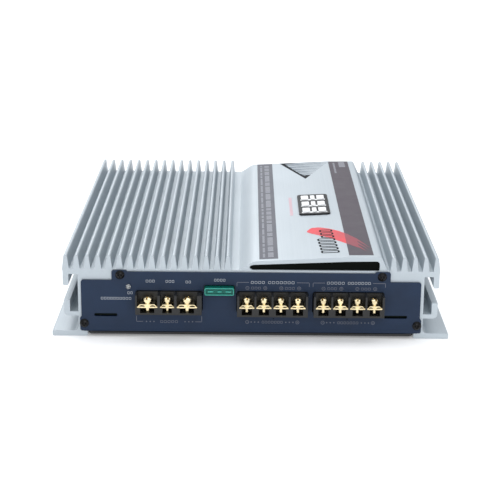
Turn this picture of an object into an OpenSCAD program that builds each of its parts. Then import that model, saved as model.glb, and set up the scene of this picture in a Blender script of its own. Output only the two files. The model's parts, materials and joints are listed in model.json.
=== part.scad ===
// Four-channel car amplifier: an extruded aluminium heatsink body closed by two steel
// end plates and a bottom cover, with screw terminals and a blade fuse at the front,
// signal inputs and controls at the rear, and the power stage inside.
// +X is to the right seen from the terminals, +Y runs back along the fins, +Z is up.
// The origin is on the mounting surface, in the middle of the body.

/* [Heatsink] */
// Length of the extrusion, along the fins
body_len = 264; // [250:1:300]
// Height of the fin tips above the mounting surface
fin_top = 54.5; // [53.5:0.1:55.5]
// Distance from one fin to the next
fin_pitch = 6.9; // [6.8:0.01:6.92]
// Width of a fin at its root
fin_root = 4.3; // [3.9:0.1:4.5]
// Width of a fin at its tip
fin_tip = 2.2; // [1.6:0.1:2.6]
// Number of fins left of the raised platform
left_fins = 16; // [14:1:16]
// Number of fins right of the raised platform
right_fins = 5; // [4:1:5]
// Width across the mounting feet
foot_span = 255.6; // [252:0.2:258]
// Thickness of the mounting feet
foot_t = 3.5; // [3:0.1:3.6]
// Distance between the mounting holes across the body
foot_hole_dx = 245.6; // [245.2:0.1:246]
// Distance between the mounting holes along the body
foot_hole_dy = 150; // [100:1:170]
// Radius of the mounting holes
foot_hole_r = 2.25; // [2:0.05:2.4]

/* [End plates] */
// Thickness of the end plates
plate_t = 1.5; // [1.2:0.1:1.8]
// Width of an end plate over its lower part
plate_w = 217.4; // [216.4:0.2:218]
// Height of the shoulders of an end plate
plate_step_z = 38.2; // [37.6:0.1:38.8]
// Height of the top edge of an end plate
plate_top_z = 43.9; // [43.4:0.1:44.2]
// Width of an end plate above its shoulders
plate_upper_w = 178; // [176:0.5:180]

/* [Terminals] */
// How far the terminal blocks stand out of the front plate
block_out = 9.5; // [9.3:0.1:10.5]
// Position of the middle power terminal across the body
power_x = -53.2; // [-54:0.1:-53.2]
// Distance between neighbouring power terminals
power_pitch = 12.6; // [12.6:0.05:12.8]
// Middle of the rear speaker terminal block across the body
rear_spk_x = 13.7; // [13.4:0.1:14]
// Middle of the front speaker terminal block across the body
front_spk_x = 62.4; // [62.2:0.1:62.8]
// Distance between neighbouring speaker terminals
spk_pitch = 10.85; // [10.8:0.05:10.9]
// Thread pitch of the terminal screws, the lift of one turn
thread_pitch = 0.7; // [0.5:0.05:0.7]

/* [Fuse] */
// Middle of the blade fuse across the body
fuse_x = -20.2; // [-20.4:0.1:-20]
// Width of the fuse head
fuse_w = 19.1; // [18.8:0.1:19.3]
// Thickness of the fuse head
fuse_t = 5.2; // [5:0.1:5.4]

/* [Inputs and controls] */
// Distance of the input jacks from the middle of the body
jack_x = 66; // [64:0.5:67]
// Outer radius of an input jack's sleeve
jack_r = 4.15; // [4.1:0.05:4.2]
// Distance of the gain knobs from the middle of the body
gain_x = 46; // [45:0.5:47]
// Distance of the filter knobs from the middle of the body
filter_x = 28; // [27:0.5:29]
// Distance of the filter switches from the middle of the body
switch_x = 10; // [9:0.5:11]
// Radius of a control knob
knob_r = 5.2; // [4.6:0.1:5.6]

/* [Hidden] */
$fn = 48;
eps = 0.01;

// Ends of the extrusion and outer faces of the end plates
y_front = -body_len / 2;
y_rear = body_len / 2;
y_panel = y_front - plate_t;
y_back = y_rear + plate_t;

// Base plate of the heatsink, which carries the fins
base_z = 41.7;
base_t = 3.5;
base_top = base_z + base_t;
fin_half_span = 120.3;
outer_fin_x = 118.4;
fin_r = fin_tip / 2;

// Side walls, feet, upward-open side channels and the lips that hang over them
wall_out = 110.8;
wall_t = 3.2;
wall_in = wall_out - wall_t;
toe_in = 105.2;
foot_out = foot_span / 2;
foot_fillet = 3;
lip_in = 116.7;
lip_z = 34.2;
chan_z = 13.7;
chan_floor = 16.5;
chan_top = 24;
chan_in = 116.2;
chan_out = 120;
chan_r = 3;

// Ledge that holds the bottom cover, rails that hold the board, screw ports
cover_z = 1.9;
cover_t = 1.5;
cover_w = 209.2;
cover_screw_x = 101.4;
cover_screw_ys = [-118, -40, 40, 118];
ledge_in = 99.4;
ledge_t = 2;
rail_in = 104.2;
board_z = 14.1;
board_t = 1.6;
board_top = board_z + board_t;
port_r = 1.3;
port_wall = 1.8;
upper_port = [83.6, 42];
pad_in = 79.5;
pad_z = 36.9;
lower_port = [107, 9.2];
screw_r = 1.25;

// Raised platform and the hollow under it
rise_x0 = -10.2;
rise_x1 = 4;
rise_z = 51.3;
crest = [62, 54.5];
platform_corner = [81.6, 52.5];
platform_corner_r = 2.2;
platform_foot_x = 87.4;
root_z = base_top - 0.4;
hollow_floor = base_top + 0.2;
hollow_corner = [79.9, 49.8];
hollow_corner_r = 2;
hollow_low_r = 1;
badge_x = 45;
badge_y = -2;
badge_t = 1;
badge_w = 22;
badge_len = 54;
plug_recess = 1.5;
plug_len = 10;

// Openings of the front plate
gap = 0.5;
slot_x = 93.1;
slot_size = [14.8, 2.1];
led_pos = [-78.3, 34.2];
led_r = 1.5;
fuse_z = 32.4;

// Heights and depths inside the terminal blocks
power_z0 = 18.4;
spk_z0 = 17.5;
block_z1 = 31.2;
block_floor = 1.2;
contact_z = 22.9;
screw_turns = 4;
shank_z = contact_z - screw_turns * thread_pitch - 0.2;
contact_t = 0.9;
contact_top = contact_z + contact_t;
y_block = y_panel - block_out;
y_pocket = y_panel - 0.8;
y_block_rear = y_front + 11;
y_screw = y_panel - 5.1;
y_tail = y_front + 2.4;
tail_t = 0.8;
clamp_d = 6.8;
clamp_t = 1.3;
power_span = [-20.2, 21.9];
spk_span = [-22.5, 22.5];

// One row per terminal size: plate width, pocket width under the plate, tail width,
// screw shank radius, collar radius, head radius, sagitta of the wire grooves
BIG = [12.8, 9, 5, 2, 2.6, 3.5, 0.75];
SMALL = [8.8, 6, 3, 1.75, 2.1, 2.9, 0.6];
SPEAKER = [9.5, 6.5, 3, 1.75, 2.1, 2.9, 0.6];
power_xs = [for (i = [-1:1]) i * power_pitch];
power_kinds = [BIG, SMALL, BIG];
spk_xs = [for (i = [0:3]) (i - 1.5) * spk_pitch];
spk_kinds = [for (i = [0:3]) SPEAKER];

// Rear panel
jack_zs = [22.4, 35];
jack_boss_r = 5.6;
jack_out = 9.5;
jack_bore_r = 3.55;
y_boss = y_back + 1.1;
knob_z = 25;
knob_shaft_r = 2.5;
lever_size = [2.6, 3];
lever_travel = 2.2;

// Power stage on the side walls
bar_ys = [-60, 60];
transistor_dy = 18;
transistor_size = [4.4, 10, 15];
transistor_z = 20.5;
pad_t = 0.2;
bar_size = [1.4, 56, 8];
bar_z = 25;
bar_screw_dy = 9;

module both_sides() {
  children();
  mirror([1, 0, 0]) children();
}

module both_ends() {
  children();
  mirror([0, 1, 0]) children();
}

// Extrudes a front-view outline from depth y over the length len
module along_y(y, len) {
  translate([0, y + len, 0]) rotate([90, 0, 0]) linear_extrude(len) children();
}

// A cylinder along Y from depth y, centred on p = [x, z]
module rod_y(p, y, len, r) {
  translate([p[0], y, p[1]]) rotate([-90, 0, 0]) cylinder(h = len, r = r);
}

// Box between two corners
module box(a, b) {
  translate(a) cube(b - a);
}

// Rectangle between two corners with all four corners rounded
module round_rect(a, b, r) {
  translate([a[0] + r, a[1]]) square([b[0] - a[0] - 2 * r, b[1] - a[1]]);
  translate([a[0], a[1] + r]) square([b[0] - a[0], b[1] - a[1] - 2 * r]);
  for (x = [a[0] + r, b[0] - r], z = [a[1] + r, b[1] - r]) translate([x, z]) circle(r);
}

// Concave fillet in the corner at the origin, towards +X and +Y
module fillet(r) {
  difference() {
    translate([-eps, -eps]) square(r + eps);
    translate([r, r]) circle(r);
  }
}

// ---------------------------------------------------------------- heatsink

module fin() {
  polygon([
    [-fin_root / 2, base_top - 1],
    [fin_root / 2, base_top - 1],
    [fin_root / 2, base_top],
    [fin_r, fin_top - fin_r],
    [-fin_r, fin_top - fin_r],
    [-fin_root / 2, base_top]
  ]);
  translate([0, fin_top - fin_r]) circle(fin_r);
}

module fins() {
  for (i = [0:left_fins - 1]) translate([-outer_fin_x + i * fin_pitch, 0]) fin();
  for (i = [0:right_fins - 1]) translate([outer_fin_x - i * fin_pitch, 0]) fin();
}

// Straight outer side of the outermost fin, flush with the hanging lip
module fin_flank() {
  polygon([
    [outer_fin_x, base_z],
    [fin_half_span, base_z],
    [fin_half_span, base_top + 1],
    [outer_fin_x + fin_r, fin_top - fin_r],
    [outer_fin_x, fin_top - fin_r]
  ]);
}

module hanging_lip() {
  round_rect([lip_in, lip_z], [fin_half_span, base_z + 2], 1);
}

module side_channel() {
  difference() {
    union() {
      translate([wall_in, chan_z]) square([chan_out - chan_r - wall_in, chan_floor - chan_z]);
      translate([chan_out - chan_r, chan_z + chan_r]) circle(chan_r);
      translate([chan_in, chan_z + chan_r]) square([chan_out - chan_in, chan_top - chan_z - chan_r]);
    }
    translate([wall_out, chan_floor]) square([chan_in - wall_out, chan_top]);
  }
}

module side_wall() {
  translate([wall_in, 0]) square([wall_t, base_z + 1]);
  round_rect([toe_in, 0], [foot_out, foot_t], 0.6);
  translate([wall_out, foot_t]) fillet(foot_fillet);
  side_channel();
  hanging_lip();
  translate([ledge_in, cover_z + cover_t]) square([wall_in - ledge_in + 1, ledge_t]);
  translate([rail_in, board_z - 2]) square([wall_in - rail_in + 1, 1.9]);
  translate([rail_in, board_top + 0.2]) square([wall_in - rail_in + 1, 1.5]);
  translate([pad_in, pad_z]) square([wall_in + 1 - pad_in, base_z + 1 - pad_z]);
  translate(lower_port) circle(port_r + port_wall);
  fin_flank();
}

function arc(c, r, a0, a1, n) =
  [for (i = [0:n]) c + r * [cos(a0 + (a1 - a0) * i / n), sin(a0 + (a1 - a0) * i / n)]];

// Raised platform: an eased rise on the left, a gentle slope, a rounded right shoulder
module platform() {
  rise = [for (t = [0:0.1:1])
    [rise_x0 + t * (rise_x1 - rise_x0), root_z + (rise_z - root_z) * (1 - cos(180 * t)) / 2]];
  polygon(concat(
    [[rise_x0, base_z + 1]],
    rise,
    [crest],
    arc(platform_corner, platform_corner_r, 90, 15, 5),
    [[platform_foot_x, root_z], [platform_foot_x, base_z + 1]]
  ));
}

// Hollow under the platform, blunt on the left and rounded on the right
module hollow() {
  polygon(concat(
    [[1, hollow_floor], [-0.6, 46.2], [-1.2, 47.2], [-0.4, 48.3], [1.6, 48.9], [crest[0], 51.5]],
    arc(hollow_corner, hollow_corner_r, 90, 0, 4),
    arc([hollow_corner[0] + hollow_corner_r - hollow_low_r, hollow_floor + hollow_low_r],
        hollow_low_r, 0, -90, 3)
  ));
}

module screw_ports() {
  both_sides() {
    translate(upper_port) circle(port_r);
    translate(lower_port) circle(port_r);
  }
}

module body_outline() {
  difference() {
    union() {
      translate([-fin_half_span + 1, base_z]) square([2 * fin_half_span - 2, base_t]);
      both_sides() side_wall();
      fins();
    }
    screw_ports();
  }
}

module heatsink() {
  color("gainsboro") difference() {
    union() {
      along_y(y_front, body_len) body_outline();
      along_y(y_front, body_len) difference() {
        platform();
        hollow();
        screw_ports();
      }
    }
    for (sx = [-1, 1], sy = [-1, 1])
      translate([sx * foot_hole_dx / 2, sy * foot_hole_dy / 2, -1])
        cylinder(h = foot_t + 2, r = foot_hole_r);
    for (sx = [-1, 1], y = cover_screw_ys)
      translate([sx * cover_screw_x, y, cover_z]) cylinder(h = ledge_t + cover_t + 1, r = port_r);
    both_sides() at_bar_screws() cylinder(h = wall_in + 2.4 - rail_in, r = port_r);
  }
}

// Black blanks pressed into both ends of the hollow
module channel_plugs() {
  color([0.04, 0.04, 0.045]) both_ends() along_y(y_front + plug_recess, plug_len) hollow();
}

// Blank rounded badge stuck on the slope of the platform
module badge() {
  slope = atan2(crest[1] - rise_z, crest[0] - rise_x1);
  color([0.05, 0.05, 0.055])
    translate([badge_x, badge_y, rise_z + (badge_x - rise_x1) * tan(slope)])
      rotate([0, -slope, 0]) linear_extrude(badge_t)
        round_rect([-badge_w / 2, -badge_len / 2], [badge_w / 2, badge_len / 2], 3);
}

// ---------------------------------------------------------------- cover and end plates

module bottom_cover() {
  half = [cover_w / 2, body_len / 2 + 1.3];
  cut = 2;
  color([0.09, 0.09, 0.1]) difference() {
    translate([0, 0, cover_z]) linear_extrude(cover_t) polygon([
      [-half[0] + cut, -half[1]], [half[0] - cut, -half[1]],
      [half[0], -half[1] + cut], [half[0], half[1] - cut],
      [half[0] - cut, half[1]], [-half[0] + cut, half[1]],
      [-half[0], half[1] - cut], [-half[0], -half[1] + cut]
    ]);
    for (sx = [-1, 1], y = cover_screw_ys)
      translate([sx * cover_screw_x, y, cover_z - eps])
        cylinder(h = cover_t + 2 * eps, r1 = 3, r2 = 1.6);
  }
}

// Cross recess of a Phillips screw, cut down from the plane z = 0
module cross_recess(span, depth) {
  for (a = [0, 90]) rotate([0, 0, a])
    translate([-span / 2, -0.4, -depth]) cube([span, 0.8, depth + 1]);
}

module countersunk_screw() {
  difference() {
    union() {
      cylinder(h = cover_t - 0.1, r1 = 2.85, r2 = screw_r);
      cylinder(h = 4.6, r = screw_r);
    }
    mirror([0, 0, 1]) cross_recess(2.8, 0.9);
  }
}

module bottom_cover_screws() {
  color([0.15, 0.15, 0.16]) for (sx = [-1, 1], y = cover_screw_ys)
    translate([sx * cover_screw_x, y, cover_z]) countersunk_screw();
}

module plate_outline() {
  upper = plate_upper_w / 2;
  wide = plate_w / 2;
  round_rect([-wide, cover_z + cover_t + 0.5], [wide, plate_step_z], 1.5);
  translate([-upper, plate_step_z - 5]) square([2 * upper, plate_top_z - plate_step_z + 5]);
  both_sides() {
    round_rect([upper - 10, plate_step_z - 5], [upper, plate_top_z + 1.1], 1.5);
    round_rect([wide - 8, 4], [wide + 1, 13.5], 1.3);
  }
}

// What both end plates share: the outline, the four screw holes and the board slots
module plate_blank() {
  difference() {
    plate_outline();
    both_sides() {
      translate(upper_port) circle(1.7);
      translate(lower_port) circle(1.7);
      round_rect([slot_x - slot_size[0] / 2, board_z + board_t / 2 - slot_size[1] / 2],
                 [slot_x + slot_size[0] / 2, board_z + board_t / 2 + slot_size[1] / 2], 0.95);
    }
  }
}

module block_cutout(x, span, z0) {
  round_rect([x + span[0] - gap, z0 - gap], [x + span[1] + gap, block_z1 + gap], 1.6);
}

module front_end_plate() {
  color([0.13, 0.18, 0.30]) along_y(y_panel, plate_t) difference() {
    plate_blank();
    block_cutout(power_x, power_span, power_z0);
    block_cutout(rear_spk_x, spk_span, spk_z0);
    block_cutout(front_spk_x, spk_span, spk_z0);
    round_rect([fuse_x - fuse_w / 2 - 0.6, fuse_z - fuse_t / 2 - 0.6],
               [fuse_x + fuse_w / 2 + 0.6, fuse_z + fuse_t / 2 + 0.6], 1.2);
    translate(led_pos) circle(led_r + 0.1);
  }
}

module rear_end_plate() {
  color([0.13, 0.18, 0.30]) along_y(y_rear, plate_t) difference() {
    plate_blank();
    both_sides() {
      for (z = jack_zs) translate([jack_x, z]) circle(jack_boss_r + 0.2);
      for (x = [gain_x, filter_x]) translate([x, knob_z]) circle(3.4);
      round_rect([switch_x - lever_travel - 1.7, knob_z - 1.9],
                 [switch_x + lever_travel + 1.7, knob_z + 1.9], 0.4);
    }
  }
}

// Pan-head screw along +Y, its head's underside at the origin
module pan_screw(len) {
  head_r = 2.9;
  head_h = 1.9;
  dome_r = 3.6;
  rotate([-90, 0, 0]) {
    cylinder(h = len, r = screw_r);
    mirror([0, 0, 1]) difference() {
      rotate_extrude() intersection() {
        square([head_r, head_h]);
        translate([0, head_h - dome_r]) circle(dome_r);
      }
      translate([0, 0, head_h]) cross_recess(3.2, 1.2);
    }
  }
}

module end_plate_screws() {
  color([0.07, 0.07, 0.08]) both_ends() both_sides()
    for (p = [upper_port, lower_port]) translate([p[0], y_panel, p[1]]) pan_screw(10);
}

// ---------------------------------------------------------------- terminals

// Black block of screw terminals: pockets for the plates, open at the top and the front,
// with barriers between them, a clear space under each plate and slots for the tails
module terminal_block(x, span, z0, xs, kinds) {
  color([0.05, 0.05, 0.055]) difference() {
    union() {
      box([x + span[0], y_block, z0], [x + span[1], y_block_rear, block_z1]);
      box([x + span[0], y_front + 0.1, board_top], [x + span[1], y_block_rear, z0 + 1]);
    }
    for (i = [0:len(xs) - 1]) {
      k = kinds[i];
      c = x + xs[i];
      box([c - k[0] / 2 - 0.1, y_block - 1, contact_z], [c + k[0] / 2 + 0.1, y_pocket, block_z1 + 1]);
      box([c - k[1] / 2, y_block - 1, z0 + block_floor],
          [c + k[1] / 2, y_panel - 2, contact_z + eps]);
      box([c - k[2] / 2 - 0.1, y_pocket - 1, contact_z],
          [c + k[2] / 2 + 0.1, y_tail + tail_t + 0.1, contact_top + 0.1]);
      box([c - k[2] / 2 - 0.1, y_tail - 0.1, board_top - 1],
          [c + k[2] / 2 + 0.1, y_tail + tail_t + 0.1, contact_top + 0.1]);
    }
  }
}

module power_terminal_block() {
  terminal_block(power_x, power_span, power_z0, power_xs, power_kinds);
}

module rear_speaker_terminal_block() {
  terminal_block(rear_spk_x, spk_span, spk_z0, spk_xs, spk_kinds);
}

module front_speaker_terminal_block() {
  terminal_block(front_spk_x, spk_span, spk_z0, spk_xs, spk_kinds);
}

// Gold-plated plate with a tail that goes down through the board
module contact(x, k) {
  difference() {
    union() {
      box([x - k[0] / 2, y_block + 0.4, contact_z], [x + k[0] / 2, y_pocket - 0.1, contact_top]);
      box([x - k[2] / 2, y_pocket - 1, contact_z], [x + k[2] / 2, y_tail + tail_t, contact_top]);
      box([x - k[2] / 2, y_tail, board_z - 1.6], [x + k[2] / 2, y_tail + tail_t, contact_top]);
    }
    translate([x, y_screw, contact_z - 1]) cylinder(h = contact_t + 2, r = k[3] + 0.05);
  }
}

module terminal_contacts() {
  color([0.85, 0.70, 0.36]) {
    for (i = [0:2]) contact(power_x + power_xs[i], power_kinds[i]);
    for (x = [rear_spk_x, front_spk_x], i = [0:3]) contact(x + spk_xs[i], spk_kinds[i]);
  }
}

// Wire clamp: a saddle washer whose two grooves arch over the wires
module clamp(x, k) {
  w = k[0] - 1;
  groove = w * 0.34;
  sag = k[6];
  r = (groove * groove / 4 + sag * sag) / (2 * sag);
  color([0.88, 0.74, 0.40]) difference() {
    translate([x, 0, 0]) along_y(y_screw - clamp_d / 2, clamp_d) difference() {
      polygon([
        [-w / 2, contact_top],
        [w / 2, contact_top],
        [w / 2 - 1.3, contact_top + clamp_t],
        [-w / 2 + 1.3, contact_top + clamp_t]
      ]);
      for (s = [-1, 1]) translate([s * w * 0.29, contact_top + sag - r]) circle(r);
    }
    translate([x, y_screw, contact_top - 1]) cylinder(h = clamp_t + 2, r = k[3] + 0.15);
  }
}

// Combination-head clamping screw with a collar that presses on the clamp,
// its slot turned by the angle turn from the X axis
module clamp_screw(x, k, turn) {
  collar_z = contact_top + clamp_t;
  head_z = collar_z + 1.6;
  head_h = 2.8;
  dome_r = k[5] * 1.35;
  slot_half = 0.6;
  slot_depth = 1.3;
  color([0.90, 0.76, 0.42]) translate([x, y_screw, 0]) rotate([0, 0, turn]) difference() {
    union() {
      translate([0, 0, shank_z]) cylinder(h = head_z - shank_z + 0.3, r = k[3]);
      translate([0, 0, collar_z]) cylinder(h = head_z - collar_z + 0.5, r = k[4]);
      translate([0, 0, head_z]) rotate_extrude() intersection() {
        square([k[5], head_h]);
        translate([0, head_h - dome_r]) circle(dome_r);
      }
    }
    translate([0, 0, head_z + head_h]) cross_recess(k[5] * 1.1, 1.7);
    box([-k[5] - 1, -slot_half, head_z + head_h - slot_depth], [k[5] + 1, slot_half, head_z + head_h + 2]);
  }
}

// ---------------------------------------------------------------- fuse and lamp

// Element of the fuse: two blades joined by a strip inside the body, grown by g
module fuse_strip(g) {
  blade_in = 4;
  blade_out = 9.2;
  half_t = 0.325;
  for (s = [-1, 1]) {
    a = min(s * blade_in, s * blade_out);
    box([fuse_x + a - g, y_panel - 1, fuse_z - half_t - g],
        [fuse_x + a + blade_out - blade_in + g, y_panel + 14.5, fuse_z + half_t + g]);
  }
  box([fuse_x - blade_out - g, y_panel - 1.6 - g, fuse_z - half_t - g],
      [fuse_x + blade_out + g, y_panel - 0.4, fuse_z + half_t + g]);
}

module fuse_element() {
  color([0.75, 0.76, 0.78]) fuse_strip(0);
}

module fuse_body() {
  head_y = y_panel - 4;
  color([0.0, 0.45, 0.36]) difference() {
    union() {
      along_y(head_y, 4.9) round_rect([fuse_x - fuse_w / 2, fuse_z - fuse_t / 2],
                                      [fuse_x + fuse_w / 2, fuse_z + fuse_t / 2], 1);
      box([fuse_x - 9.4, head_y + 2, fuse_z - 1.8], [fuse_x + 9.4, y_panel + 7.5, fuse_z + 1.8]);
    }
    fuse_strip(0.04);
    // thumb recess in the outer face
    along_y(head_y - 1, 1.5) round_rect([fuse_x - fuse_w / 2 + 1.4, fuse_z - fuse_t / 2 + 1.1],
                                        [fuse_x + fuse_w / 2 - 1.4, fuse_z + fuse_t / 2 - 1.1], 0.8);
  }
}

module fuse_holder() {
  half = 10.7;
  color([0.08, 0.08, 0.085]) difference() {
    box([fuse_x - half, y_front + 0.1, board_top], [fuse_x + half, y_front + 19, fuse_z + 4.6]);
    box([fuse_x - 9.65, y_front - 1, fuse_z - 2.1], [fuse_x + 9.65, y_panel + 7.8, fuse_z + 2.1]);
    for (s = [-1, 1]) translate([fuse_x + s * 6.6, 0, 0]) {
      box([-2.9, y_panel + 7, fuse_z - 1.2], [2.9, y_panel + 18.3, fuse_z + 1.2]);
      box([-1.2, y_panel + 17.2, board_top - 1], [1.2, y_panel + 18.3, fuse_z]);
    }
  }
}

// Spring clips that grip the fuse blades, with tails through the board
module fuse_contacts() {
  y0 = y_panel + 8;
  y1 = y_panel + 18.1;
  color([0.80, 0.72, 0.50]) for (s = [-1, 1]) translate([fuse_x + s * 6.6, 0, fuse_z]) {
    for (m = [0, 1]) mirror([0, 0, m]) box([-2.4, y0, 0.38], [2.4, y1, 1]);
    box([-2.4, y1 - 0.7, -1], [2.4, y1, 1]);
    box([-1.1, y1 - 0.7, board_z - 1.6 - fuse_z], [1.1, y1, 0]);
  }
}

module status_led() {
  color([0.86, 0.88, 0.88]) {
    rod_y(led_pos, y_panel - 0.9, 4.5, led_r);
    rod_y(led_pos, y_front + 0.1, 1, led_r + 0.5);
    translate([led_pos[0], y_panel - 0.9, led_pos[1]]) sphere(led_r);
    for (s = [-1, 1]) translate([led_pos[0] + s * 0.9, 0, 0]) {
      box([-0.25, y_front + 2, led_pos[1] - 0.25], [0.25, y_front + 6, led_pos[1] + 0.25]);
      box([-0.25, y_front + 5.5, board_top], [0.25, y_front + 6, led_pos[1] + 0.25]);
    }
  }
}

// ---------------------------------------------------------------- board and power supply

module main_board() {
  half_w = wall_in - 0.4;
  color([0.05, 0.09, 0.07]) difference() {
    box([-half_w, y_front + 0.7, board_z], [half_w, y_rear - 0.7, board_top]);
    for (i = [0:2]) tail_slot(power_x + power_xs[i], power_kinds[i][2], y_tail);
    for (x = [rear_spk_x, front_spk_x], i = [0:3]) tail_slot(x + spk_xs[i], spk_kinds[i][2], y_tail);
    for (s = [-1, 1]) tail_slot(fuse_x + s * 6.6, 2.2, y_panel + 17.4);
  }
}

module tail_slot(x, w, y) {
  box([x - w / 2 - 0.1, y - 0.1, board_z - 1], [x + w / 2 + 0.1, y + tail_t + 0.1, board_top + 1]);
}

toroid_at = [-60, -40];
toroid_core_r = [12, 19];
toroid_core_z = [20.5, 31];

module toroid_ring() {
  rotate_extrude() translate([toroid_core_r[0], toroid_core_z[0]])
    square([toroid_core_r[1] - toroid_core_r[0], toroid_core_z[1] - toroid_core_z[0]]);
}

module toroid_core() {
  color([0.25, 0.27, 0.25]) translate([toroid_at[0], toroid_at[1], 0]) toroid_ring();
}

module toroid_winding() {
  color([0.72, 0.38, 0.18]) translate([toroid_at[0], toroid_at[1], 0]) difference() {
    rotate_extrude() round_rect([toroid_core_r[0] - 4, board_top], [toroid_core_r[1] + 4, 35.4], 3.5);
    toroid_ring();
  }
}

module input_choke() {
  color([0.75, 0.42, 0.20]) translate([-22, -76, 0])
    rotate_extrude() round_rect([4, board_top], [10, board_top + 12], 2.5);
}

module filter_capacitors() {
  r = 8;
  h = 20;
  color([0.12, 0.13, 0.18]) for (x = [-92, -75, -58, -41], y = [-104, -84])
    translate([x, y, board_top]) rotate_extrude() {
      square([r, h - 1]);
      square([r - 1, h]);
      translate([r - 1, h - 1]) circle(1);
    }
}

module signal_chips() {
  color([0.06, 0.06, 0.065]) for (x = [-50:20:50]) translate([x, 84, board_top]) {
    box([-4.7, -3.2, 0.5], [4.7, 3.2, 4]);
    for (i = [-1.5:1.5], s = [-1, 1]) translate([i * 2.54, s * 3.7, 0])
      box([-0.3, -0.55, 0], [0.3, 0.55, 2]);
  }
}

// Places children at every transistor of one side, on the wall's inner face
module at_transistors() {
  for (y = bar_ys, i = [-1:1]) translate([wall_in - pad_t, y + i * transistor_dy, transistor_z])
    children();
}

// Places children at every clamp bar screw of one side, pointing out along X
module at_bar_screws() {
  for (y = bar_ys, s = [-1, 1])
    translate([rail_in, y + s * bar_screw_dy, bar_z + bar_size[2] / 2]) rotate([0, 90, 0]) children();
}

module power_transistors() {
  s = transistor_size;
  color([0.10, 0.10, 0.11]) both_sides() at_transistors() {
    box([-s[0], -s[1] / 2, 0], [0, s[1] / 2, s[2]]);
    for (i = [-1:1]) box([-s[0] + 0.1, i * 2.54 - 0.4, board_top - transistor_z],
                         [-s[0] + 0.6, i * 2.54 + 0.4, 0.5]);
  }
}

module insulator_strips() {
  color([0.55, 0.62, 0.68]) both_sides() difference() {
    for (y = bar_ys) box([wall_in - pad_t, y - bar_size[1] / 2, transistor_z - 1],
                         [wall_in, y + bar_size[1] / 2, pad_z - 0.4]);
    at_bar_screws() cylinder(h = 10, r = 1.6);
  }
}

bar_x1 = wall_in - pad_t - transistor_size[0];

module clamp_bars() {
  color([0.70, 0.71, 0.72]) both_sides() difference() {
    for (y = bar_ys) box([bar_x1 - bar_size[0], y - bar_size[1] / 2, bar_z],
                         [bar_x1, y + bar_size[1] / 2, bar_z + bar_size[2]]);
    at_bar_screws() translate([0, 0, -10]) cylinder(h = 20, r = 1.6);
  }
}

module clamp_bar_screws() {
  head = bar_x1 - bar_size[0] - rail_in;
  color([0.60, 0.61, 0.62]) both_sides() at_bar_screws() difference() {
    union() {
      translate([0, 0, head - 1.9]) cylinder(h = 1.9, r = 2.8);
      translate([0, 0, head]) cylinder(h = wall_in + 2 - rail_in - head, r = screw_r);
    }
    translate([0, 0, head - 1.9]) mirror([0, 0, 1]) cross_recess(3, 1);
  }
}

// ---------------------------------------------------------------- inputs and controls

module at_jacks() {
  both_sides() for (z = jack_zs) translate([jack_x, 0, z]) children();
}

module jack_housings() {
  color([0.07, 0.07, 0.08]) both_sides() difference() {
    union() {
      box([jack_x - 7, y_rear - 13, board_top], [jack_x + 7, y_rear - 0.1, jack_zs[1] + 6.3]);
      for (z = jack_zs) rod_y([jack_x, z], y_rear - 1, y_boss - y_rear + 1, jack_boss_r);
    }
    for (z = jack_zs) rod_y([jack_x, z], y_rear - 8, 20, jack_r - 0.2);
  }
}

// Plated contact sleeve: the bare end takes a plug, the rest sits in the housing
module jack_sleeves() {
  color([0.83, 0.70, 0.38]) at_jacks() difference() {
    union() {
      rod_y([0, 0], y_rear - 8, y_boss - y_rear + 9, jack_r - 0.2);
      rod_y([0, 0], y_boss, y_back + jack_out - y_boss, jack_r);
    }
    rod_y([0, 0], y_rear - 9, 40, jack_bore_r);
  }
}

module jack_insulators() {
  color([0.92, 0.92, 0.90]) at_jacks() difference() {
    rod_y([0, 0], y_rear - 8, 8 + plate_t + jack_out - 1.2, jack_bore_r);
    rod_y([0, 0], y_rear + 1, 20, 1.6);
  }
}

module potentiometers() {
  color([0.20, 0.30, 0.42]) both_sides() for (x = [gain_x, filter_x]) difference() {
    box([x - 4.8, y_rear - 10, board_top], [x + 4.8, y_rear - 0.1, knob_z + 4.8]);
    rod_y([x, knob_z], y_rear - 8, 12, knob_shaft_r + 0.05);
  }
}

// Knurled knob on its spindle, with a pointer groove in its face
module knob(x) {
  y0 = y_back + 0.6;
  len = 6.2;
  flutes = 18;
  color([0.06, 0.06, 0.065]) difference() {
    union() {
      rod_y([x, knob_z], y_rear - 7.5, y0 - y_rear + 8, knob_shaft_r);
      rod_y([x, knob_z], y0, len, knob_r);
    }
    for (i = [0:flutes - 1]) {
      a = 360 * (i + 0.5) / flutes;
      rod_y([x + (knob_r + 0.15) * cos(a), knob_z + (knob_r + 0.15) * sin(a)], y0 + 1.2, len, 0.45);
    }
    box([x - 0.45, y0 + len - 0.6, knob_z + 0.8], [x + 0.45, y0 + len + 1, knob_z + knob_r + 1]);
  }
}

module front_gain_knob() {
  knob(gain_x);
}

module front_filter_knob() {
  knob(filter_x);
}

module rear_gain_knob() {
  knob(-gain_x);
}

module rear_filter_knob() {
  knob(-filter_x);
}

module slide_switches() {
  slot = lever_size[0] / 2 + lever_travel + 0.3;
  color([0.55, 0.56, 0.58]) both_sides() difference() {
    box([switch_x - 6.5, y_rear - 8, board_top], [switch_x + 6.5, y_rear - 0.1, knob_z + 3]);
    box([switch_x - slot, y_rear - 5.5, knob_z - lever_size[1] / 2 - 0.1],
        [switch_x + slot, y_rear + 1, knob_z + lever_size[1] / 2 + 0.1]);
  }
}

module filter_lever(x) {
  h = lever_size / 2;
  color([0.05, 0.05, 0.055])
    box([x - h[0], y_rear - 5.4, knob_z - h[1]], [x + h[0], y_back + 2.6, knob_z + h[1]]);
}

module front_filter_lever() {
  filter_lever(switch_x);
}

module rear_filter_lever() {
  filter_lever(-switch_x);
}

// ---------------------------------------------------------------- what is drawn

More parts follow.
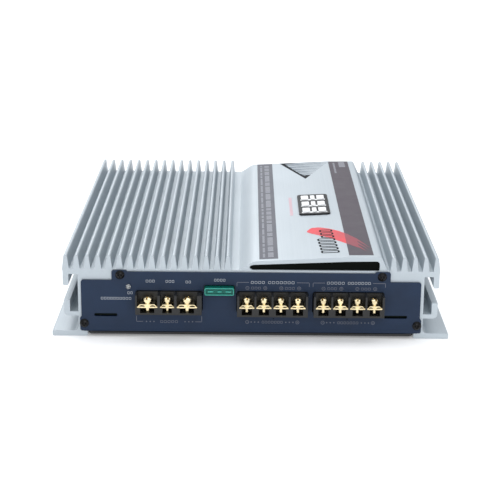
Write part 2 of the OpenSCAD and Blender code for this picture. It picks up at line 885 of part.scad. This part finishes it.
heatsink();
bottom_cover();
bottom_cover_screws();
front_end_plate();
rear_end_plate();
end_plate_screws();
channel_plugs();
badge();
power_terminal_block();
rear_speaker_terminal_block();
front_speaker_terminal_block();
terminal_contacts();
clamp(power_x + power_xs[0], BIG);  // ground_clamp
clamp_screw(power_x + power_xs[0], BIG, 82);  // ground_screw
clamp(power_x + power_xs[1], SMALL);  // remote_clamp
clamp_screw(power_x + power_xs[1], SMALL, 104);  // remote_screw
clamp(power_x + power_xs[2], BIG);  // battery_clamp
clamp_screw(power_x + power_xs[2], BIG, 68);  // battery_screw
clamp(rear_spk_x + spk_xs[0], SPEAKER);  // ch4_minus_clamp
clamp_screw(rear_spk_x + spk_xs[0], SPEAKER, 96);  // ch4_minus_screw
clamp(rear_spk_x + spk_xs[1], SPEAKER);  // ch4_plus_clamp
clamp_screw(rear_spk_x + spk_xs[1], SPEAKER, 75);  // ch4_plus_screw
clamp(rear_spk_x + spk_xs[2], SPEAKER);  // ch3_minus_clamp
clamp_screw(rear_spk_x + spk_xs[2], SPEAKER, 108);  // ch3_minus_screw
clamp(rear_spk_x + spk_xs[3], SPEAKER);  // ch3_plus_clamp
clamp_screw(rear_spk_x + spk_xs[3], SPEAKER, 86);  // ch3_plus_screw
clamp(front_spk_x + spk_xs[0], SPEAKER);  // ch2_minus_clamp
clamp_screw(front_spk_x + spk_xs[0], SPEAKER, 72);  // ch2_minus_screw
clamp(front_spk_x + spk_xs[1], SPEAKER);  // ch2_plus_clamp
clamp_screw(front_spk_x + spk_xs[1], SPEAKER, 100);  // ch2_plus_screw
clamp(front_spk_x + spk_xs[2], SPEAKER);  // ch1_minus_clamp
clamp_screw(front_spk_x + spk_xs[2], SPEAKER, 90);  // ch1_minus_screw
clamp(front_spk_x + spk_xs[3], SPEAKER);  // ch1_plus_clamp
clamp_screw(front_spk_x + spk_xs[3], SPEAKER, 112);  // ch1_plus_screw
fuse_body();
fuse_element();
fuse_holder();
fuse_contacts();
status_led();
main_board();
toroid_core();
toroid_winding();
input_choke();
filter_capacitors();
signal_chips();
power_transistors();
insulator_strips();
clamp_bars();
clamp_bar_screws();
jack_housings();
jack_sleeves();
jack_insulators();
potentiometers();
front_gain_knob();
rear_gain_knob();
front_filter_knob();
rear_filter_knob();
slide_switches();
front_filter_lever();
rear_filter_lever();
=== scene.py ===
import json
import math
import random

import bpy
import bmesh
from mathutils import Matrix, Vector


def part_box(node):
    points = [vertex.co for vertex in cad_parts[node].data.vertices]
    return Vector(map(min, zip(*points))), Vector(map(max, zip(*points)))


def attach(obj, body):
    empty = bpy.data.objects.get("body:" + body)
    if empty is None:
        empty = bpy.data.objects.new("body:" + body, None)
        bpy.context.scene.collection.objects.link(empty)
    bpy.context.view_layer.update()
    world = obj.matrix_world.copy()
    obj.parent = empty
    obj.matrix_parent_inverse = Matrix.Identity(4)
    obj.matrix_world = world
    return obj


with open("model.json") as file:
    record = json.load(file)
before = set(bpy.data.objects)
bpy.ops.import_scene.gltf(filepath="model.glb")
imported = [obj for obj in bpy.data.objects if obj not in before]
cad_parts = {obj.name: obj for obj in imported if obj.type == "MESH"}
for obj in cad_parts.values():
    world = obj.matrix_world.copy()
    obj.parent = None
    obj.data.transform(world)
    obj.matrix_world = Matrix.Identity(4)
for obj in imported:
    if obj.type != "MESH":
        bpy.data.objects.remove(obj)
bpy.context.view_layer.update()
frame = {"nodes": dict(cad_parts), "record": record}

MM = 0.001
NODES = frame["nodes"]
PLATE_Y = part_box("front_end_plate")[0].y / MM
BACK_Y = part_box("rear_end_plate")[1].y / MM
# Thickness of a layer of ink
SHEET = 0.04
# The platform's top in the CAD, as (x, z) in mm: start and end of its slope, and its right edge
RISE, CREST, EDGE = (4.0, 51.3), (62.0, 54.5), (81.6, 54.7)
# Middle of each speaker block, and the number of letters in the first word over it
BLOCKS = ((13.8, 4), (62.4, 5))


# ------------------------------------------------------------------ materials

def new_material(name, base, rough, metal=0.0, **more):
    """A node material: (material, nodes, links, the surface shader)."""
    m = bpy.data.materials.new(name)
    m.use_nodes = True
    nodes, links = m.node_tree.nodes, m.node_tree.links
    bsdf = nodes["Principled BSDF"]
    bsdf.inputs["Base Color"].default_value = (*base, 1)
    bsdf.inputs["Roughness"].default_value = rough
    bsdf.inputs["Metallic"].default_value = metal
    for key, value in more.items():
        bsdf.inputs[key.replace("_", " ")].default_value = value
    return m, nodes, links, bsdf


def coords(nodes, links, scale):
    """Object coordinates scaled per axis; scale is in cycles per metre."""
    tc = nodes.new("ShaderNodeTexCoord")
    mp = nodes.new("ShaderNodeMapping")
    mp.inputs["Scale"].default_value = scale
    links.new(tc.outputs["Object"], mp.inputs["Vector"])
    return mp.outputs["Vector"]


def noise(nodes, links, scale, detail=3.0, rough=0.55):
    n = nodes.new("ShaderNodeTexNoise")
    n.inputs["Scale"].default_value = 1.0
    n.inputs["Detail"].default_value = detail
    n.inputs["Roughness"].default_value = rough
    links.new(coords(nodes, links, scale), n.inputs["Vector"])
    return n.outputs["Fac"]


def spread(nodes, links, value, low, high, lo_in=0.3, hi_in=0.7):
    r = nodes.new("ShaderNodeMapRange")
    r.inputs["From Min"].default_value = lo_in
    r.inputs["From Max"].default_value = hi_in
    r.inputs["To Min"].default_value = low
    r.inputs["To Max"].default_value = high
    links.new(value, r.inputs["Value"])
    return r.outputs["Result"]


def tint(nodes, links, value, a, b, lo_in=0.3, hi_in=0.7):
    """Colour between a and b, chosen by value."""
    r = nodes.new("ShaderNodeValToRGB")
    r.color_ramp.elements[0].position = lo_in
    r.color_ramp.elements[1].position = hi_in
    r.color_ramp.elements[0].color = (*a, 1)
    r.color_ramp.elements[1].color = (*b, 1)
    links.new(value, r.inputs["Fac"])
    return r.outputs["Color"]


def bump(nodes, links, bsdf, value, strength, dist, under=None):
    b = nodes.new("ShaderNodeBump")
    b.inputs["Strength"].default_value = strength
    b.inputs["Distance"].default_value = dist
    links.new(value, b.inputs["Height"])
    if under is not None:
        links.new(under, b.inputs["Normal"])
    links.new(b.outputs["Normal"], bsdf.inputs["Normal"])
    return b.outputs["Normal"]


def darker(c, k):
    return tuple(v * k for v in c)


def speckled(name, base, rough, metal=0.0, grain=2600, depth=0.00003, vary=0.85, dr=0.08, **more):
    """Painted, moulded or plated surface: fine grain, and slow changes of tone and gloss."""
    m, nodes, links, bsdf = new_material(name, base, rough, metal, **more)
    slow = noise(nodes, links, (60, 60, 60), 4)
    fine = noise(nodes, links, (grain, grain, grain), 2)
    links.new(tint(nodes, links, slow, darker(base, vary), base), bsdf.inputs["Base Color"])
    links.new(spread(nodes, links, slow, rough - dr, rough + dr), bsdf.inputs["Roughness"])
    bump(nodes, links, bsdf, fine, 0.35, depth)
    return m


def extruded(name, base, rough):
    """Anodised extrusion: die lines along Y, faint clouding."""
    m, nodes, links, bsdf = new_material(name, base, rough, 0.35)
    lines = noise(nodes, links, (1800, 6, 1800), 4, 0.7)
    cloud = noise(nodes, links, (25, 12, 25), 3)
    links.new(tint(nodes, links, cloud, darker(base, 0.93), base), bsdf.inputs["Base Color"])
    links.new(spread(nodes, links, lines, rough - 0.06, rough + 0.07), bsdf.inputs["Roughness"])
    bump(nodes, links, bsdf, lines, 0.25, 0.00002)
    return m


def brushed(name, base, rough, along=(40, 2200, 2200), metal=1.0):
    m, nodes, links, bsdf = new_material(name, base, rough, metal)
    lines = noise(nodes, links, along, 3, 0.6)
    links.new(tint(nodes, links, lines, darker(base, 0.86), base), bsdf.inputs["Base Color"])
    links.new(spread(nodes, links, lines, rough - 0.07, rough + 0.09), bsdf.inputs["Roughness"])
    bump(nodes, links, bsdf, lines, 0.2, 0.00002)
    return m


def plated(name, base, rough):
    """Plated contact metal, with slight waviness and handling marks."""
    m, nodes, links, bsdf = new_material(name, base, rough, 1.0)
    wave = noise(nodes, links, (700, 700, 700), 3)
    mark = noise(nodes, links, (230, 230, 230), 5, 0.65)
    links.new(tint(nodes, links, mark, darker(base, 0.74), base, 0.35, 0.6), bsdf.inputs["Base Color"])
    links.new(spread(nodes, links, mark, rough + 0.10, rough - 0.05), bsdf.inputs["Roughness"])
    bump(nodes, links, bsdf, wave, 0.25, 0.00006)
    return m


MAT = {
    "satin_aluminium": extruded("satin_aluminium", (0.49, 0.545, 0.585), 0.42),
    "black_paint": speckled("black_paint", (0.012, 0.012, 0.014), 0.45),
    "black_steel": speckled("black_steel", (0.002, 0.002, 0.003), 0.22, grain=1500,
                            Specular_IOR_Level=0.25),
    "blue_paint": speckled("blue_paint", (0.014, 0.029, 0.064), 0.42, grain=3200, vary=0.82,
                           Specular_IOR_Level=0.22),
    "soft_black_plastic": speckled("soft_black_plastic", (0.002, 0.003, 0.002), 0.85, dr=0.03,
                                   Specular_IOR_Level=0.1),
    "badge_black": speckled("badge_black", (0.004, 0.004, 0.005), 0.35, Specular_IOR_Level=0.15),
    "black_plastic": speckled("black_plastic", (0.008, 0.008, 0.008), 0.45, grain=1900),
    "gold_plate": plated("gold_plate", (0.88, 0.74, 0.46), 0.16),
    "plated_steel": brushed("plated_steel", (0.66, 0.67, 0.68), 0.30),
    "green_fuse_plastic": speckled("green_fuse_plastic", (0.0, 0.13, 0.10), 0.25, grain=900, vary=0.75,
                                   Transmission_Weight=0.12, IOR=1.5, Specular_IOR_Level=0.25),
    "clear_lens": speckled("clear_lens", (0.92, 0.95, 0.95), 0.10, grain=500, vary=0.95, dr=0.03,
                           Transmission_Weight=0.75, IOR=1.5),
    "dark_board": speckled("dark_board", (0.004, 0.010, 0.008), 0.6, Specular_IOR_Level=0.15),
    "ferrite": speckled("ferrite", (0.05, 0.055, 0.05), 0.6),
    "enamelled_copper": brushed("enamelled_copper", (0.72, 0.33, 0.15), 0.3, (900, 900, 60)),
    "capacitor_sleeve": speckled("capacitor_sleeve", (0.02, 0.025, 0.05), 0.25),
    "silicone_pad": speckled("silicone_pad", (0.30, 0.35, 0.42), 0.7),
    "jack_plastic": speckled("jack_plastic", (0.85, 0.85, 0.82), 0.3),
    "pot_plastic": speckled("pot_plastic", (0.05, 0.10, 0.2), 0.5),
    "knob_plastic": speckled("knob_plastic", (0.010, 0.010, 0.011), 0.5, grain=1500),
}
# A lighter copy of the fuse's green for its raised rim and test points: painted highlight, not a different
# plastic
MAT["fuse_rim_highlight"] = speckled("fuse_rim_highlight", (0.04, 0.42, 0.34), 0.2, grain=900, vary=0.7)
MAT["print_white"] = speckled("print_white", (0.40, 0.43, 0.47), 0.5)
MAT["print_dim"] = speckled("print_dim", (0.13, 0.14, 0.18), 0.5)
MAT["print_grey"] = speckled("print_grey", (0.125, 0.13, 0.155), 0.5, Specular_IOR_Level=0.25)
MAT["print_purple"] = speckled("print_purple", (0.085, 0.072, 0.088), 0.5, Specular_IOR_Level=0.25)
MAT["print_pale"] = speckled("print_pale", (0.34, 0.35, 0.39), 0.5, Specular_IOR_Level=0.25)
MAT["print_black"] = speckled("print_black", (0.006, 0.008, 0.012), 0.6, Specular_IOR_Level=0.1)
MAT["print_slate"] = speckled("print_slate", (0.10, 0.13, 0.17), 0.5, Specular_IOR_Level=0.25)
MAT["print_red"] = speckled("print_red", (0.78, 0.035, 0.055), 0.4, grain=700, vary=0.72)
MAT["print_wine"] = speckled("print_wine", (0.30, 0.032, 0.055), 0.4, grain=700, vary=0.72)
MAT["print_pink"] = speckled("print_pink", (0.72, 0.36, 0.42), 0.5)
MAT["bright_tile"] = speckled("bright_tile", (0.88, 0.89, 0.90), 0.3, grain=900, vary=0.93)

for sub in frame["record"]["subparts"]:
    o = NODES[sub["node"]]
    o.data.materials.clear()
    o.data.materials.append(MAT[sub["material_slot"]])


# ------------------------------------------------------------------ printed marks

def circle(u, v, r, n):
    return [(u + r * math.cos(2 * math.pi * i / n), v + r * math.sin(2 * math.pi * i / n)) for i in range(n)]


def rounded(u0, v0, u1, v1, r):
    """Outline of a rectangle with rounded corners."""
    pts = []
    for cu, cv, a0 in ((u1 - r, v1 - r, 0), (u0 + r, v1 - r, 90),
                       (u0 + r, v0 + r, 180), (u1 - r, v0 + r, 270)):
        for k in range(4):
            a = math.radians(a0 + 30 * k)
            pts.append((cu + r * math.cos(a), cv + r * math.sin(a)))
    return pts


class Print:
    """A thin layer of ink made of closed prisms standing on a surface.

    place(u, v, h) turns sheet coordinates in mm and a height into a point in the row frame.
    """

    def __init__(self, name, place, material, slot, thick=SHEET):
        self.name, self.place, self.material = name, place, material
        self.slot, self.thick = slot, thick
        self.bm = bmesh.new()

    def loop(self, pts, h):
        return [self.bm.verts.new([c * MM for c in self.place(u, v, h)]) for u, v in pts]

    def prism(self, pts):
        low, high = self.loop(pts, 0.0), self.loop(pts, self.thick)
        n = len(pts)
        self.bm.faces.new(high)
        self.bm.faces.new(low[::-1])
        for i in range(n):
            self.bm.faces.new((low[i], low[(i + 1) % n], high[(i + 1) % n], high[i]))

    def bar(self, u0, v0, u1, v1, r=None):
        r = min(abs(u1 - u0), abs(v1 - v0)) * 0.25 if r is None else r
        self.prism(rounded(u0, v0, u1, v1, r))

    def dot(self, u, v, r, n=20):
        self.prism(circle(u, v, r, n))

    def band(self, outer, inner):
        """A closed band between two outlines with the same number of points."""
        rings = [self.loop(inner, 0), self.loop(outer, 0),
                 self.loop(outer, self.thick), self.loop(inner, self.thick)]
        n = len(outer)
        for k in range(4):
            a, b = rings[k], rings[(k + 1) % 4]
            for i in range(n):
                j = (i + 1) % n
                self.bm.faces.new((a[i], a[j], b[j], b[i]))

    def ring(self, u, v, r0, r1, n=28):
        self.band(circle(u, v, r1, n), circle(u, v, r0, n))

    def frame(self, u0, v0, u1, v1, r, stroke):
        self.band(rounded(u0, v0, u1, v1, r),
                  rounded(u0 + stroke, v0 + stroke, u1 - stroke, v1 - stroke, max(r - stroke, 0.02)))

    def word(self, u0, u1, v, n, tall=1.7, fill=0.74, stroke=0.24):
        """A word stands as n plain frames of the size of its letters."""
        step = (u1 - u0) / n
        for i in range(n):
            a = u0 + i * step + step * (1 - fill) / 2
            self.frame(a, v - tall / 2, a + step * fill, v + tall / 2, 0.3, stroke)

    def ribbon(self, centres, widths, across=(0, 1)):
        """A stroke along centres with full widths measured in the direction across."""
        left = [(c[0] - across[0] * w / 2, c[1] - across[1] * w / 2) for c, w in zip(centres, widths)]
        right = [(c[0] + across[0] * w / 2, c[1] + across[1] * w / 2) for c, w in zip(centres, widths)]
        for i in range(len(centres) - 1):
            self.prism([left[i], left[i + 1], right[i + 1], right[i]])

    def done(self, body="chassis"):
        bmesh.ops.remove_doubles(self.bm, verts=self.bm.verts, dist=1e-9)
        bmesh.ops.recalc_face_normals(self.bm, faces=self.bm.faces)
        me = bpy.data.meshes.new(self.name)
        self.bm.to_mesh(me)
        self.bm.free()
        o = bpy.data.objects.new(self.name, me)
        bpy.context.scene.collection.objects.link(o)
        me.materials.append(MAT[self.material])
        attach(o, body)
        return o


def on_front(u, v, h):
    return (u, PLATE_Y - h, v)


def on_back(u, v, h):
    return (u, BACK_Y + h, v)


def platform_z(x):
    """Height of the platform's top over x, both in mm."""
    if x < RISE[0]:
        return RISE[1]
    a, b = (RISE, CREST) if x <= CREST[0] else (CREST, EDGE)
    return a[1] + (b[1] - a[1]) * (x - a[0]) / (b[0] - a[0])


def on_platform(u, v, h):
    return (u, v, platform_z(u) + h)


def front_print():
    p = Print("front_plate_print", on_front, "print_white", "blue_paint")
    for x, z, n, w in ((-64.3, 37.9, 3, 6.2), (-51.8, 37.8, 3, 6.0), (-40.1, 37.5, 2, 3.8),
                       (-20.0, 38.9, 4, 7.6)):
        p.word(x - w / 2, x + w / 2, z, n)
    for block_x, n0 in BLOCKS:
        left, right = block_x - 14.2, block_x + 14.2
        split = left + n0 * 2.35
        p.word(left, split, 37.6, n0)
        p.word(split + 1.6, right, 37.6, 7)
    p.word(-79.2, -75.4, 29.9, 2)
    p.word(-96.2, -76.4, 26.1, 10)
    p.done()

    p = Print("front_plate_lines", on_front, "print_dim", "blue_paint")
    half = 0.17
    for block_x, _ in BLOCKS:
        near, far = block_x - 22.8, block_x + 23.4
        for a, b in ((near + half, block_x - 15.2), (block_x + 15.4, far - half)):
            p.bar(a, 37.6 - half, b, 37.6 + half, 0.1)
        for x in (near, far):
            p.bar(x - half, 34.9, x + half, 37.4, 0.1)
        for x0 in (block_x - 16.1, block_x + 5.5):
            for cx, plus in ((x0, False), (x0 + 11.4, True)):
                terminal_sign(p, cx, 33.8, plus)
            p.word(x0 + 2.2, x0 + 8.8, 33.8, 3)
        terminal_sign(p, block_x - 16.1, 10.8, False)
        terminal_sign(p, block_x + 16.2, 10.8, True)
        for x0 in (block_x - 13.5, block_x + 8.8):
            for k in range(3):
                p.dot(x0 + 2.3 * k, 10.8, 0.42)
        p.word(block_x - 6.9, block_x + 7.0, 10.8, 7)
    for x, end in ((-73.4, -69.2), (-31.5, -35.7)):
        p.bar(x - half, 10.9, x + half, 14.4, 0.1)
        p.bar(min(x, end), 10.6 - half, max(x, end), 10.6 + half, 0.1)
    for x0 in (-67.0, -42.2):
        for k in range(3):
            p.dot(x0 + 2.4 * k, 10.6, 0.42)
    p.word(-58.4, -46.6, 10.6, 5)
    p.done()

    p = Print("front_plate_specks", on_front, "print_black", "blue_paint")
    for x in (14.6, 61.9):
        p.dot(x, 13.3, 0.45)
    p.done()


def terminal_sign(p, u, v, plus):
    """A ringed minus or plus."""
    p.ring(u, v, 0.9, 1.2)
    p.bar(u - 0.5, v - 0.12, u + 0.5, v + 0.12, 0.05)
    if plus:
        for s in (-1, 1):
            p.bar(u - 0.12, v + s * 0.32 - 0.19, u + 0.12, v + s * 0.32 + 0.19, 0.05)


def fuse_marks():
    """Raised rim and test points on the head of the fuse, in a lighter copy of the fuse's green: a painted
    highlight along their raised edges.
    """
    lo, hi = (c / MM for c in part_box("fuse_body"))
    mid_x, mid_z = (lo.x + hi.x) / 2, (lo.z + hi.z) / 2
    p = Print("fuse_rim_highlight", lambda u, v, h: (u, lo.y - h, v), "fuse_rim_highlight", "green_fuse_plastic", 0.12)
    p.frame(lo.x + 0.25, lo.z + 0.25, hi.x - 0.25, hi.z - 0.25, 0.9, 0.4)
    for x, w in ((-5.6, 3.6), (0.2, 2.6), (5.8, 3.6)):
        p.bar(mid_x + x - w / 2, mid_z - 0.35, mid_x + x + w / 2, mid_z + 0.35, 0.3)
    p.done("fuse")


def back_print():
    p = Print("rear_plate_print", on_back, "print_white", "blue_paint")
    for x in (-46, 46, -28, 28):
        for k in range(11):
            a = math.radians(-60 + 30 * k)
            p.dot(x + 7.4 * math.cos(a), 25 + 7.4 * math.sin(a), 0.3, 12)
    for x, w, n in ((-46, 9, 4), (46, 9, 4), (-28, 11, 5), (28, 11, 5), (-10, 8, 4), (10, 8, 4)):
        p.word(x - w / 2, x + w / 2, 36.5, n)
    for x in (-10, 10):
        for s in (-1, 1):
            p.bar(x + s * 3 - 0.9, 20.4, x + s * 3 + 0.9, 21.0, 0.1)
    for x in (-78, 78):
        for z in (35.0, 22.4):
            p.word(x - 2, x + 2, z, 2)
    p.done()


# Ends of the printed strips along Y
STRIP_Y = (-128.2, 131.0)


def on_ink(u, v, h):
    """On top of one layer of ink."""
    return on_platform(u, v, h + SHEET)


def on_stroke(u, v, h):
    """On top of the brush stroke."""
    return on_platform(u, v, h + SHEET + 0.03)


def strips():
    y0, y1 = STRIP_Y
    p = Print("platform_strip_left", on_platform, "print_grey", "satin_aluminium")
    p.bar(5.2, y0, 17.2, y1, 0.2)
    p.done()
    p = Print("platform_strip_right", on_platform, "print_purple", "satin_aluminium")
    p.bar(62.5, y0 + 0.6, 78.2, y1, 0.2)
    p.done()

    p = Print("platform_strip_marks", on_ink, "print_pale", "satin_aluminium", 0.02)
    rnd = random.Random(4)
    for x, tall in ((8.2, 1.5), (12.6, 3.6)):
        y = y0 + 4
        while y < y1 - 8:
            letters = rnd.randint(3, 9)
            for _ in range(letters):
                if y > y1 - 6:
                    break
                p.bar(x - tall / 2, y, x + tall / 2, y + 1.3, 0.2)
                y += 2.1
            y += 2.6
    for k in range(5):
        p.bar(70.4, 112 + 3.6 * k, 75.4, 114.2 + 3.6 * k, 0.3)
    for k in range(11):
        p.bar(65.8, 92 + 3.2 * k, 67.4, 93.8 + 3.2 * k, 0.3)
    p.done()


def triangle():
    """A striped triangle pointing to the front, its stripes thinner to the right."""
    left, tip_x, right = 23.3, 42.3, 62.3
    top_y, tip_y = 130.6, 77.0
    rows, parts = 13, 8

    def left_edge(y):
        return left + (tip_x - left) * (top_y - y) / (top_y - tip_y)

    def right_edge(y):
        return right - (right - tip_x) * (top_y - y) / (top_y - tip_y)

    p = Print("platform_triangle", on_platform, "print_slate", "satin_aluminium")
    for k in range(rows):
        ya = top_y + (tip_y - top_y) * (k / rows)
        thick = (top_y - tip_y) / rows * (0.45 + 0.25 * (k % 2))
        xa, xb, end = left_edge(ya), left_edge(ya - thick), right_edge(ya)
        for seg in range(parts):
            f0, f1 = seg / parts, (seg + 1) / parts
            low = ya - thick * (1 - 0.75 * f0)
            p.prism([(xa + (end - xa) * f0, ya), (xb + (end - xb) * f0, low),
                     (xb + (end - xb) * f1, low), (xa + (end - xa) * f1, ya)])
    p.done()
    p = Print("platform_triangle_edge", on_ink, "print_black", "satin_aluminium", 0.02)
    p.prism([(left, top_y), (tip_x, tip_y), (47.0, 89.5), (41.6, 87.0), (38.4, 94.0), (27.5, 127.0),
             (40, top_y)])
    p.done()


def brush_stroke():
    """A curved stroke that gets darker over the right strip and ends in three bristle marks."""
    knots = [(37.8, -70.0, 3.0), (41, -68.5, 14.0), (46, -70.5, 20.0), (52, -75.5, 23.0), (58, -82.5, 25.0),
             (64, -91.0, 25.0), (70, -100.5, 21.0), (74, -108.5, 14.0), (76.4, -115.0, 1.0)]
    start, strip_x, split_x, stop = knots[0][0], 62.5, 70.0, knots[-1][0]
    steps = 48

    def at(x):
        """Middle and width of the stroke at x."""
        for a, b in zip(knots, knots[1:]):
            if x <= b[0]:
                f = (x - a[0]) / (b[0] - a[0])
                return [a[i] + (b[i] - a[i]) * f for i in (1, 2)]
        return knots[-1][1:]

    stroke = Print("platform_brush_stroke", on_ink, "print_red", "satin_aluminium", 0.03)
    tail = Print("platform_brush_tail", on_ink, "print_wine", "satin_aluminium", 0.03)
    rnd = random.Random(9)
    xs = [start + (stop - start) * i / steps for i in range(steps + 1)]
    for sheet, lo, hi in ((stroke, start, strip_x), (tail, strip_x, split_x)):
        cut = [lo] + [x for x in xs if lo < x < hi] + [hi]
        centres = [(x, at(x)[0] + rnd.uniform(-0.3, 0.3)) for x in cut]
        sheet.ribbon(centres, [at(x)[1] for x in cut])
    width = at(split_x)[1]
    for off, share, end in ((0.36, 0.26, 77.0), (0.0, 0.22, 75.5), (-0.36, 0.24, 74.0)):
        cut = [split_x + (end - split_x) * i / 8 for i in range(9)]
        centres = [(x, at(min(x, stop))[0] + off * width - 0.4 * (x - split_x)) for x in cut]
        tail.ribbon(centres, [width * share * (1 - i / 8.6) for i in range(9)])
    stroke.done()
    tail.done()


def platform_words():
    """The rows of letters on the stroke and beside the badge, as plain marks."""
    p = Print("platform_power_marks", on_stroke, "print_black", "satin_aluminium", 0.02)
    for k, tall in enumerate((12.0, 12.0, 12.0, 12.0, 12.0, 9.0, 9.0, 9.0)):
        x1, y = 57.0 - 0.3 * k, -121.0 + 6.9 * k
        p.frame(x1 - tall, y, x1, y + 5.4, 1.6, 1.3)
    p.done()

    p = Print("platform_pink_marks", on_platform, "print_pink", "satin_aluminium")
    for k in range(16):
        p.bar(27.6, -27 + 3.1 * k, 29.8, -25.3 + 3.1 * k, 0.3)
    p.done()


def badge_tiles():
    """Three plain bright marks set in the badge: three bars each, joined at one end."""
    lo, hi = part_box("badge")
    slope = math.atan2(CREST[1] - RISE[1], CREST[0] - RISE[0])
    mid_x, mid_y = 45, (lo.y + hi.y) / 2 / MM
    top = 1.0

    def place(u, v, h):
        z = top + h
        return (mid_x + u * math.cos(slope) - z * math.sin(slope), mid_y + v,
                platform_z(mid_x) + u * math.sin(slope) + z * math.cos(slope))

    p = Print("badge_tiles", place, "bright_tile", "badge_black", 0.1)
    for v in (-17.0, 0.0, 17.0):
        for u0, u1 in ((-8.4, -3.0), (-1.6, 1.6), (3.0, 8.4)):
            p.bar(u0, v - 6.9, u1, v + 6.9, 1.0)
        p.bar(-9.0, v - 6.9, 9.0, v - 3.6, 1.0)
    p.done()


front_print()
fuse_marks()
back_print()
strips()
triangle()
brush_stroke()
platform_words()
badge_tiles()


# ------------------------------------------------------------------ floor, light, camera

def stage():
    me = bpy.data.meshes.new("floor")
    half = 6.0
    me.from_pydata([(-half, -half, 0), (half, -half, 0), (half, half, 0), (-half, half, 0)], [],
                   [(0, 1, 2, 3)])
    floor = bpy.data.objects.new("floor", me)
    floor.location = (0, 0, -0.0002)
    bpy.context.scene.collection.objects.link(floor)
    m, nodes, links, bsdf = new_material("floor_white", (0.93, 0.93, 0.93), 0.9)
    links.new(tint(nodes, links, noise(nodes, links, (9, 9, 9), 3), (0.925, 0.925, 0.925),
                   (0.935, 0.935, 0.935)), bsdf.inputs["Base Color"])
    bsdf.inputs["Specular IOR Level"].default_value = 0.0
    bsdf.inputs["Emission Color"].default_value = (1, 1, 1, 1)
    bsdf.inputs["Emission Strength"].default_value = 0.2
    me.materials.append(m)


def area(name, at, look, size, power, colour=(1, 1, 1)):
    light = bpy.data.lights.new(name, "AREA")
    light.shape = "RECTANGLE"
    light.size, light.size_y = size
    light.energy = power
    light.color = colour
    o = bpy.data.objects.new(name, light)
    o.location = at
    o.rotation_euler = (Vector(look) - Vector(at)).to_track_quat("-Z", "Y").to_euler()
    bpy.context.scene.collection.objects.link(o)


def lights():
    w = bpy.context.scene.world or bpy.data.worlds.new("studio")
    bpy.context.scene.world = w
    w.use_nodes = True
    bg = w.node_tree.nodes["Background"]
    bg.inputs["Color"].default_value = (0.93, 0.96, 1.0, 1)
    bg.inputs["Strength"].default_value = 0.68
    area("top", (0.0, 0.25, 1.3), (0, 0, 0), (1.8, 1.6), 12)
    area("front", (0.2, -1.5, 0.9), (0, 0, 0.02), (1.4, 0.8), 8)
    area("back_rim", (-0.5, 1.4, 0.9), (0, 0, 0.02), (1.2, 0.7), 6)


def colours():
    v = bpy.context.scene.view_settings
    v.view_transform = "Standard"
    v.look = "None"


def camera():
    pitch, yaw, roll = 0.29525, -0.00317, 0.00998
    f = Vector((-math.sin(yaw) * math.cos(pitch), math.cos(yaw) * math.cos(pitch), -math.sin(pitch)))
    r0 = f.cross(Vector((0, 0, 1))).normalized()
    u0 = r0.cross(f)
    r = math.cos(roll) * r0 + math.sin(roll) * u0
    u = -math.sin(roll) * r0 + math.cos(roll) * u0
    cam = bpy.data.cameras.new("camera")
    cam.sensor_width = 36
    cam.lens = 1420.6 / 500 * 36
    cam.clip_start, cam.clip_end = 0.05, 50
    o = bpy.data.objects.new("camera", cam)
    m = Matrix((r, u, -f)).transposed().to_4x4()
    m.translation = Vector((-0.00363, -0.99433, 0.32102))
    o.matrix_world = m
    bpy.context.scene.collection.objects.link(o)
    bpy.context.scene.camera = o


stage()
lights()
colours()
camera()
